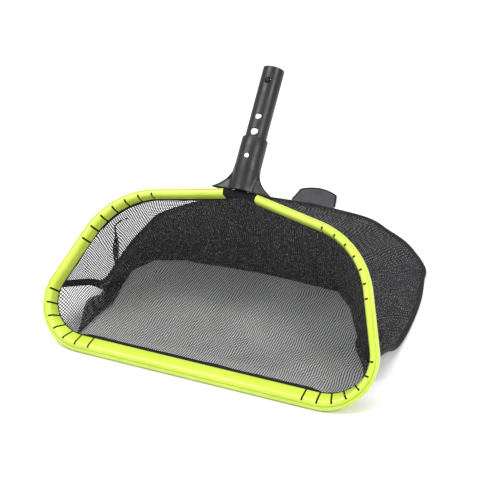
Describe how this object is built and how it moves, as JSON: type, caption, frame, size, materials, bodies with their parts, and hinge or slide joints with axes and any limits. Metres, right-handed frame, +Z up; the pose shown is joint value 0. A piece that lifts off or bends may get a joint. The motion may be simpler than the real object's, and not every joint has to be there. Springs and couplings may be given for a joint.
{
  "type": "leaf skimmer net",
  "caption": "Leaning rounded hoop with a kerfed edging, a flat mesh bag behind it, a flared pole socket with a snap clip, and a hinged pull tab.",
  "frame": {"origin": "on the floor, under the centre of the object's bounding box", "axes": "+X across the mouth, +Y from the mouth to the tail of the bag, +Z up"},
  "size_m": [0.4578, 0.5099, 0.3147],
  "materials": {
    "lime_edging": "smooth moulded, satin",
    "black_plastic": "fine moulded grain",
    "net_mesh": "open woven mesh",
    "seam_binding": "woven tape",
    "tab_webbing": "coarse webbing",
    "hoop_aluminium": "drawn bar",
    "spring_steel": "rolled strip"
  },
  "bodies": {
    "hoop": {"lime_edging": "lime_edging", "hoop_rod": "hoop_aluminium", "hem_sleeve": "net_mesh", "net_floor_panel": "net_mesh", "net_top_panel": "net_mesh", "seam_binding_left": "seam_binding", "seam_binding_right": "seam_binding", "seam_binding_rear": "seam_binding", "yoke": "black_plastic", "pole_spigot": "black_plastic", "spigot_rivet": "hoop_aluminium", "hoop_screw_left": "spring_steel", "hoop_screw_right": "spring_steel", "clip_bend": "spring_steel"},
    "front_arm": {"clip_arm_front": "spring_steel", "snap_button_front": "black_plastic"},
    "rear_arm": {"clip_arm_rear": "spring_steel", "snap_button_rear": "black_plastic"},
    "tab": {"pull_tab": "tab_webbing"}
  },
  "joints": [
    {"name": "front_button_press", "type": "hinge", "parent": "hoop", "child": "front_arm", "pos_m": [0, -0.00307, 0.27255], "axis": [-1, 0, 0], "range_deg": [0, 5.5], "stiffness_Nm_per_rad": 1.2, "springref_deg": -8.59},
    {"name": "rear_button_press", "type": "hinge", "parent": "hoop", "child": "rear_arm", "pos_m": [0, 0.00628, 0.26352], "axis": [1, 0, 0], "range_deg": [0, 5.5], "stiffness_Nm_per_rad": 1.2, "springref_deg": -8.59},
    {"name": "pull_tab_flap", "type": "hinge", "parent": "hoop", "child": "tab", "pos_m": [0, 0.2205, 0.0021], "axis": [1, 0, 0], "range_deg": [-8, 118], "stiffness_Nm_per_rad": 0.03}
  ]
}
